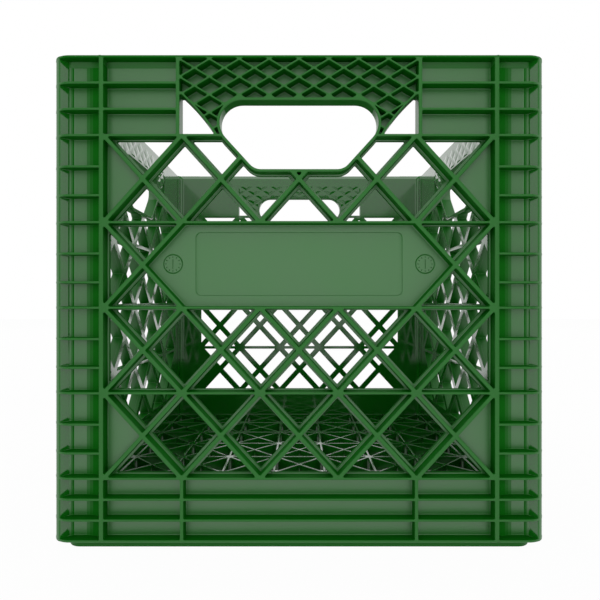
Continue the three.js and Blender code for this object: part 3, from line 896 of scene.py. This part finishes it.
class PostBuilder:
    """The post at +X +Y, as rings from its foot to its rim."""

    def __init__(self, sizes):
        self.sizes = sizes
        self.walls = post_side(sizes)
        self.edges = [shelf_edge(point, sizes) for point in self.walls]
        self.rings = []

    def inner_side(self, height):
        """Plan of the post's inside, which leans out at the rim's lead-in."""
        inner = INNER + max(0.0, height - lead_in_foot(self.sizes))
        radius = self.sizes.post_inside
        seam = POST_INNER + self.sizes.post_rib / 2
        bend = arc(Vector((inner - radius, inner - radius)), radius, 0, QUARTER, INSIDE_STEP)
        return [Vector((inner, seam))] + bend + [Vector((seam, inner))]

    def ring(self, outer, height):
        """One ring: outer holds a point and its height for one side of the corner."""
        other = [(Vector((point.y, point.x)), level) for point, level in reversed(outer[:-1])]
        whole = [Vector((point.x, point.y, level)) for point, level in outer + other]
        whole += [Vector((point.x, point.y, height)) for point in self.inner_side(height)]
        self.rings.append(whole)

    def leaned(self, point, height):
        skin = HALF - self.sizes.rib_depth
        return Vector((point.x, max(point.y, skin + lean(self.sizes, height))))

    def quarter_round(self, level, way, starts, ends, radius, share):
        """Rings of a quarter round at starts, where a face that runs on to ends at this level turns
        into a side. The side lies above the face where way is 1, and below it where way is -1."""
        for run, drop in QUARTER_ROUND[::way]:
            outer = []
            for start, end in zip(starts, ends):
                reach = end - start
                size = min(radius, share * reach.length)
                outer.append((start + reach.normalized() * size * run, level + way * size * drop))
            self.ring(outer, level)

    def fillet(self, level, way):
        """Between a post's side and the face of a shelf."""
        self.quarter_round(level, way, self.walls, self.edges, self.sizes.root, CORNER_SHARE)

    def rim_of_shelf(self, level, way, walls):
        """The rounded edge of a shelf, between its face and its front."""
        self.quarter_round(level, way, self.edges, walls, self.sizes.edge, EDGE_SHARE)

    def built(self):
        sizes = self.sizes
        for index, level in enumerate(post_levels(sizes)):
            if index:
                self.fillet(level - sizes.rib / 2, -1)
            self.rim_of_shelf(level - sizes.rib / 2, 1, self.walls)
            self.rim_of_shelf(level + sizes.rib / 2, -1, self.walls)
            self.fillet(level + sizes.rib / 2, 1)
        under = RIM - sizes.lip
        for height in sorted((flare_foot(sizes), lead_in_foot(sizes), under)):
            self.ring([(self.leaned(wall, height), height) for wall in self.walls], height)
        leaned = [self.leaned(wall, under) for wall in self.walls]
        self.rim_of_shelf(under, 1, leaned)
        self.rim_of_shelf(RIM, -1, leaned)
        skin = Skin(lambda point, depth: point)
        skin.stack(self.rings)
        return skin.welded()


def floor_body(sizes):
    """Ribs along the edges and both diagonals of every square cell."""
    cell = 2 * INNER / sizes.cells
    square = rectangle(-INNER, -INNER, INNER, INNER)
    outlines = [("field", square)]
    for index in range(sizes.cells + 1):
        place = index * cell - INNER
        for start, end in (((-INNER, place), (INNER, place)), ((place, -INNER), (place, INNER))):
            outlines.append(("solid", strip(Vector(start), Vector(end), sizes.rib)))
    for index in range(1 - sizes.cells, sizes.cells):
        shift = index * cell
        for way in (-1, 1):
            start = Vector((-INNER, shift - way * INNER))
            end = Vector((INNER, shift + way * INNER))
            outlines.append(("solid", strip(start, end, sizes.rib, sizes.rib)))
    height = FLOOR_BOX[1].z - FLOOR_BOX[0].z
    skin = Skin(lambda point, depth: Vector((point.x, point.y, FLOOR_BOX[1].z - depth)))
    holes = []
    for loop in gaps(outlines):
        outline = rounded(loop, 2 * sizes.edge)
        skin.sweep(outline, through_profile(sizes.edge, sizes.edge, 0, height))
        holes.append(inset(outline, -sizes.edge))
    for depth in (0, height):
        skin.pierced(square, holes, depth)
    skin.sweep(square, [(0, 0), (0, height)])
    return skin.welded()


def foot_body(sizes):
    """The square ring that the crate stands on."""
    outer = FOOT_BOX[1].x
    inner = outer - sizes.foot_width
    top = FOOT_BOX[1].z
    outside = rounded(rectangle(-outer, -outer, outer, outer), sizes.foot_radius, FINE_STEP)
    hollow = rounded(rectangle(-inner, -inner, inner, inner), sizes.foot_radius / 2, FINE_STEP)
    skin = Skin(lambda point, depth: Vector((point.x, point.y, depth)))
    edge = sizes.foot_edge
    under = [(-amount, depth) for amount, depth in rounding(edge, 0)]
    skin.sweep(outside, under + [(0, top)])
    skin.sweep(hollow, rounding(edge, 0) + [(0, top)])
    for depth, slope in ((0, edge), (top, 0)):
        skin.pierced(inset(outside, slope), [inset(hollow, -slope)], depth)
    return skin.welded()


# Finish

def linear(code):
    """An sRGB hex colour as linear RGBA."""
    shares = [int(code[index:index + 2], 16) / 255 for index in (0, 2, 4)]
    return [s / 12.92 if s <= 0.04045 else ((s + 0.055) / 1.055) ** 2.4 for s in shares] + [1.0]


def add_node(tree, kind, links=None, **settings):
    """Adds a node, sets its fields or input values, and links its inputs."""
    node = tree.nodes.new(kind)
    for name, value in settings.items():
        if name in node.inputs:
            node.inputs[name].default_value = value
        else:
            setattr(node, name, value)
    for name, source in (links or {}).items():
        tree.links.new(source, node.inputs[name])
    return node


def empty_tree(owner):
    """The node tree of a new material or world, without its first nodes."""
    owner.use_nodes = True
    owner.node_tree.nodes.clear()
    return owner.node_tree


def moulded_hdpe(name, finish, roughness, specular, film):
    """Injection-moulded HDPE: a saturated, even green under a gloss, clearest where a clear coat lies on it.
    How strong the gloss and coat are in each copy paints a sheen on the strong copies and shade on the weak
    ones. The melt leaves faint cloudy streaks, and the mould a grain that only softens reflections."""
    material = bpy.data.materials.new(name)
    tree = empty_tree(material)
    place = add_node(tree, "ShaderNodeTexCoord").outputs["Object"]
    flow = add_node(tree, "ShaderNodeTexNoise", {"Vector": place}, Scale=1 / finish.flow, Detail=3.0)
    colour = add_node(tree, "ShaderNodeMix", {"Factor": flow.outputs["Fac"]}, data_type="RGBA")
    colour_inputs = [socket for socket in colour.inputs if socket.type == "RGBA"]
    colour_inputs[0].default_value = linear(finish.deep)
    colour_inputs[1].default_value = linear(finish.green)
    colour_result = next(socket for socket in colour.outputs if socket.type == "RGBA")
    grain = add_node(tree, "ShaderNodeTexNoise", {"Vector": place}, Scale=1 / finish.grain, Detail=2.0)
    gloss = add_node(tree, "ShaderNodeMapRange", {"Value": flow.outputs["Fac"]})
    gloss.inputs["To Min"].default_value = roughness * (1 - finish.cloud)
    gloss.inputs["To Max"].default_value = roughness * (1 + finish.cloud)
    bump = add_node(tree, "ShaderNodeBump", {"Height": grain.outputs["Fac"]},
                    Strength=finish.grain_bump, Distance=finish.grain_depth)
    surface = add_node(tree, "ShaderNodeBsdfPrincipled", {
        "Base Color": colour_result, "Roughness": gloss.outputs["Result"], "Normal": bump.outputs["Normal"],
    }, IOR=finish.ior)
    surface.inputs["Specular IOR Level"].default_value = specular
    surface.inputs["Coat Weight"].default_value = film
    surface.inputs["Coat Roughness"].default_value = roughness
    add_node(tree, "ShaderNodeOutputMaterial", {"Surface": surface.outputs["BSDF"]})
    return material


# Copies of the plastic, in the order that plastics() gives them: a strong-gloss copy that paints a sheen, a
# plain one, two weak-gloss copies that paint shade, and a worn one rubbed smooth
LIT_SHEEN, PLAIN, HALF_SHADE, MATT_AND_SHADE, WORN = range(5)


def plastics():
    """The crate's plastic in five copies, made when first asked for: a strong-gloss copy that paints a sheen,
    a plain one, two weak-gloss copies that paint shade, and a worn smooth one.
    """
    finish = bpy.context.scene.crate_finish
    kinds = (("lit_sheen_hdpe", finish.roughness, finish.specular, finish.sheen_film),
             ("plain_hdpe", finish.roughness, finish.plain_specular, 0.0),
             ("half_shade_hdpe", finish.roughness, finish.half_shade_specular, 0.0),
             ("matt_and_shade_hdpe", finish.matt, finish.shade_specular, 0.0),
             ("worn_hdpe", finish.worn, finish.worn_specular, finish.worn_film))
    return [bpy.data.materials.get(name) or moulded_hdpe(name, finish, roughness, specular, film)
            for name, roughness, specular, film in kinds]


def show(name, body, finish_and_shade_of, turn=0.0):
    """Turns a body about the crate's axis, and shows it in place of the CAD node of that name."""
    body.normal_update()
    # Each face gets a copy of the plastic; the copies' gloss strengths paint sheen and shade
    for face in body.faces:
        face.material_index = finish_and_shade_of(face)
    mesh = bpy.data.meshes.new(name + ".surface")
    body.to_mesh(mesh)
    mesh.transform(Matrix.Rotation(turn, 4, "Z"))
    mesh.shade_smooth()
    mesh.set_sharp_from_angle(angle=SHARP_ANGLE)
    for material in plastics():
        mesh.materials.append(material)
    piece = bpy.data.objects.new(name + "_moulding", mesh)
    bpy.context.scene.collection.objects.link(piece)
    normals = piece.modifiers.new("even normals", "WEIGHTED_NORMAL")
    normals.keep_sharp = True
    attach(piece, "root")
    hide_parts(name)


# Parts of a face's normal along one axis at which its finish and painted shade change
UPRIGHT = 0.2
SLANTED = 0.5
SQUARE_ON = 0.8
LEVEL = 0.9

# Faces this near the outside are rib fronts. Linings lie this close to mid-wall, as a share of its depth
FRONT_DEPTH = 1 * MM
LINING_SHARE = 0.1

# Post faces that tilt further than this are the inside or the web, and the web's fillets turn by these
INWARD_TILT = -0.6
WEB_TURN = 0.3
WEB_FILLET = 0.15

# Copy of the plastic for a post's skin up to each tilt: root of the web, flat skin, hollow by the rib, then
# the rest. In the web's root a strong-gloss step paints a bright line and a weak-gloss step a dark band; in
# the hollow the steps paint shade deepening towards the rib
POST_FINISHES_AND_SHADE = (
    (-0.45, LIT_SHEEN), (-0.3, PLAIN), (-0.1, MATT_AND_SHADE),
    (0.035, LIT_SHEEN),
    (0.085, PLAIN), (0.14, HALF_SHADE), (0.5, MATT_AND_SHADE),
    (1.0, LIT_SHEEN),
)


def rim_finish_and_shade(face):
    """The lip's front gets the half-shade copy and its edges the weak-gloss copy, which paint shade on them;
    its top is plain, and the flare under it is plain.
    Faces below these give None."""
    sizes = bpy.context.scene.crate_sizes
    below = RIM - face.calc_center_median().z
    steep = abs(face.normal.z)
    if below < sizes.lip:
        if steep < UPRIGHT:
            return HALF_SHADE
        return PLAIN if face.normal.z > LEVEL else MATT_AND_SHADE
    return PLAIN if below < sizes.lip + sizes.flare_height and steep < SLANTED else None


def wall_finish_and_shade(face):
    """The inside is worn. Outside, plates and the upright linings beside the grip get the strong-gloss copy,
    which paints a sheen on them. The ribs' fronts are plain, and their sides get the weak-gloss copy, which
    paints shade on them."""
    if face.normal.y > SLANTED:
        return WORN
    rim = rim_finish_and_shade(face)
    if rim is not None:
        return rim
    middle = face.calc_center_median()
    depth = middle.y + HALF
    if depth < FRONT_DEPTH:
        return PLAIN
    mid_wall = abs(depth - WALL / 2) < LINING_SHARE * WALL
    lining = mid_wall and middle.z > LABEL_HEAD and abs(face.normal.x) > SQUARE_ON
    # Plates and linings: painted sheen; rib sides: painted shade
    return LIT_SHEEN if lining or face.normal.y < -SLANTED else MATT_AND_SHADE


def side_finish_and_shade(face):
    """As for the front wall, but the upright sides of the side walls' bars get the plain copy, which paints
    them lighter than the weak-gloss copy would.
    """
    finish = wall_finish_and_shade(face)
    return PLAIN if finish == MATT_AND_SHADE and abs(face.normal.x) > SLANTED else finish


def post_finish_and_shade(face):
    """A post's skin gets the strong-gloss copy, which paints a sheen on it, its edges are plain, its shelves
    get the weak-gloss copy, which paints shade on them, and its web and inside are worn. At the root of the
    web and in the hollow by the rib, steps of weaker gloss paint shade in the crease."""
    normal = face.normal
    tilt = min(normal.x, normal.y)
    if tilt < INWARD_TILT:
        in_web = max(normal.x, normal.y) > WEB_TURN
        # The web's fillets against the shelves get the weak-gloss copy, which paints shade in that crease
        return MATT_AND_SHADE if in_web and abs(normal.z) > WEB_FILLET else WORN
    rim = rim_finish_and_shade(face)
    if rim is not None:
        return rim
    middle = face.calc_center_median()
    radius = bpy.context.scene.crate_sizes.corner
    past = Vector((max(0.0, middle.x - HALF + radius), max(0.0, middle.y - HALF + radius)))
    if past.length > radius - FRONT_DEPTH:
        return PLAIN
    if abs(normal.z) > SLANTED:
        return MATT_AND_SHADE
    # Steps of weaker gloss towards the web's root and the rib paint shade in these creases
    return next(finish for limit, finish in POST_FINISHES_AND_SHADE if tilt < limit)


class CRATE_OT_walls(bpy.types.Operator):
    """Build the four walls, divided as their CAD solids are"""

    bl_idname = "crate.walls"
    bl_label = "Walls"

    def execute(self, context):
        scene = context.scene
        for labelled, turns in ((True, (0, 2)), (False, (1, 3))):
            whole = WallBuilder(scene.crate_sizes, scene.crate_grip, scene.crate_label).built(labelled)
            finish_and_shade_of = wall_finish_and_shade if labelled else side_finish_and_shade
            for name, seams in WALL_REGIONS.items():
                region = wall_region(whole, *seams)
                title = name if labelled or name != "label_band" else "centre_lattice"
                for turn in turns:
                    show(f"{SIDES[turn]}_{title}", region, finish_and_shade_of, turn * QUARTER)
                region.free()
            whole.free()
        return {"FINISHED"}


class CRATE_OT_posts(bpy.types.Operator):
    """Build the four corner posts with their shelves"""

    bl_idname = "crate.posts"
    bl_label = "Corner posts"

    def execute(self, context):
        body = PostBuilder(context.scene.crate_sizes).built()
        for turn, name in enumerate(POSTS):
            show(name, body, post_finish_and_shade, turn * QUARTER)
        body.free()
        return {"FINISHED"}


class CRATE_OT_base(bpy.types.Operator):
    """Build the floor grid and the stacking foot"""

    bl_idname = "crate.base"
    bl_label = "Floor and foot"

    def execute(self, context):
        # The floor grid gets the worn copy; the stacking foot gets the half-shade copy, whose weak gloss
        # paints the shade where it meets the floor
        for name, make, finish in (("floor_grid", floor_body, WORN), ("stacking_foot", foot_body, HALF_SHADE)):
            body = make(context.scene.crate_floor)
            show(name, body, lambda face: finish)
            body.free()
        return {"FINISHED"}


class CRATE_OT_studio(bpy.types.Operator):
    """Set up the floor, the light and the camera"""

    bl_idname = "crate.studio"
    bl_label = "Studio"

    def execute(self, context):
        scene = context.scene
        studio = scene.crate_studio
        scene.view_settings.view_transform = "Standard"
        camera = bpy.data.objects.new("camera", bpy.data.cameras.new("camera"))
        camera.data.lens = studio.lens
        camera.data.clip_start = studio.near_clip
        camera.location = (studio.shift, -HALF - studio.distance, studio.height)
        camera.rotation_euler = (QUARTER, 0, 0)
        scene.collection.objects.link(camera)
        scene.camera = camera
        white_world(scene, studio)
        pale_floor(scene, studio)
        soft_boxes(scene, studio)
        dark_flags(scene, studio)
        return {"FINISHED"}


def seen_directly(tree):
    """1 for rays that show the background itself: camera, glossy and transmission rays."""
    path = add_node(tree, "ShaderNodeLightPath")
    first = add_node(tree, "ShaderNodeMath", {
        0: path.outputs["Is Camera Ray"], 1: path.outputs["Is Glossy Ray"]}, operation="MAXIMUM")
    both = add_node(tree, "ShaderNodeMath", {
        0: first.outputs[0], 1: path.outputs["Is Transmission Ray"]}, operation="MAXIMUM")
    return both.outputs[0]


def white_world(scene, studio):
    """A white room: it shows as white, and lights the crate evenly from all round."""
    world = bpy.data.worlds.new("white room")
    tree = empty_tree(world)
    white = (1, 1, 1, 1)
    light = add_node(tree, "ShaderNodeBackground", Color=white, Strength=studio.room_light)
    backdrop = add_node(tree, "ShaderNodeBackground", Color=white, Strength=1.0)
    mixed = add_node(tree, "ShaderNodeMixShader", {
        0: seen_directly(tree), 1: light.outputs[0], 2: backdrop.outputs[0]})
    add_node(tree, "ShaderNodeOutputWorld", {"Surface": mixed.outputs[0]})
    scene.world = world


def stage_panel(scene, name, corners, material, hidden_from=()):
    """A flat panel of the studio, which is no part of the crate."""
    mesh = bpy.data.meshes.new(name)
    mesh.from_pydata(corners, [], [(0, 1, 2, 3)])
    mesh.materials.append(material)
    panel = bpy.data.objects.new(name, mesh)
    for ray in hidden_from:
        setattr(panel, f"visible_{ray}", False)
    scene.collection.objects.link(panel)


def pale_floor(scene, studio):
    """A white studio floor that keeps a faint shadow of the crate."""
    material = bpy.data.materials.new("white_studio_floor")
    tree = empty_tree(material)
    paint = add_node(tree, "ShaderNodeBsdfDiffuse", Color=linear(studio.floor_white))
    glow = add_node(tree, "ShaderNodeEmission", Strength=1.0)
    share = add_node(tree, "ShaderNodeMath", {0: seen_directly(tree)}, operation="MULTIPLY")
    share.inputs[1].default_value = studio.floor_glow
    mixed = add_node(tree, "ShaderNodeMixShader", {
        0: share.outputs[0], 1: paint.outputs[0], 2: glow.outputs[0]})
    add_node(tree, "ShaderNodeOutputMaterial", {"Surface": mixed.outputs[0]})
    half = studio.floor / 2
    corners = [(-half, -half, 0), (half, -half, 0), (half, half, 0), (-half, half, 0)]
    stage_panel(scene, "studio_floor", corners, material)


def soft_boxes(scene, studio):
    """Large soft keys round the crate, the strongest in front. Reflections show the white room instead."""
    keys = (
        ("front key", (0, -1, 0.25), studio.front_key),
        ("back key", (0, 1, 0.25), studio.back_key),
        ("left key", (-1, 0, 0.4), studio.side_key),
        ("right key", (1, 0, 0.4), studio.side_key),
    )
    for name, way, radiance in keys:
        lamp = bpy.data.lights.new(name, "AREA")
        lamp.shape = "SQUARE"
        lamp.size = studio.box
        lamp.energy = radiance * math.pi * studio.box ** 2
        box = bpy.data.objects.new(name, lamp)
        box.location = Vector(way) * studio.box_distance
        box.rotation_euler = Vector(way).to_track_quat("Z", "Y").to_euler()
        box.visible_camera = False
        box.visible_glossy = False
        scene.collection.objects.link(box)


def dark_flags(scene, studio):
    """Dark panels in front of the crate, on the left and right. Only reflections show them."""
    material = bpy.data.materials.new("black_felt")
    tree = empty_tree(material)
    felt = add_node(tree, "ShaderNodeBsdfDiffuse", Color=linear(studio.felt))
    add_node(tree, "ShaderNodeOutputMaterial", {"Surface": felt.outputs[0]})
    front = -HALF - studio.flag_distance
    head = studio.side_gap + studio.side_flag
    for name, side in (("left_flag", -1), ("right_flag", 1)):
        near, far = side * studio.side_gap, side * head
        corners = [(near, front, 0), (far, front, 0), (far, front, head), (near, front, head)]
        stage_panel(scene, name, corners, material, ("camera", "diffuse", "shadow", "transmission"))


class CRATE_PT_panel(bpy.types.Panel):
    """The crate's steps in the sidebar"""

    bl_label = "Dairy crate"
    bl_idname = "CRATE_PT_panel"
    bl_space_type = "VIEW_3D"
    bl_region_type = "UI"
    bl_category = "Crate"

    def draw(self, context):
        for operator in OPERATORS:
            self.layout.operator(operator.bl_idname)


GROUPS = {
    "crate_sizes": CrateSizes,
    "crate_grip": GripSizes,
    "crate_label": LabelSizes,
    "crate_floor": FloorSizes,
    "crate_finish": CrateFinish,
    "crate_studio": StudioSizes,
}
OPERATORS = (CRATE_OT_studio, CRATE_OT_walls, CRATE_OT_posts, CRATE_OT_base)


def register():
    for name, group in GROUPS.items():
        bpy.utils.register_class(group)
        setattr(bpy.types.Scene, name, bpy.props.PointerProperty(type=group))
    for kind in (*OPERATORS, CRATE_PT_panel):
        bpy.utils.register_class(kind)


def unregister():
    for kind in (CRATE_PT_panel, *reversed(OPERATORS)):
        bpy.utils.unregister_class(kind)
    for name, group in reversed(GROUPS.items()):
        delattr(bpy.types.Scene, name)
        bpy.utils.unregister_class(group)


def main():
    register()
    bpy.ops.crate.studio()
    bpy.ops.crate.walls()
    bpy.ops.crate.posts()
    bpy.ops.crate.base()


if __name__ == "__main__":
    main()
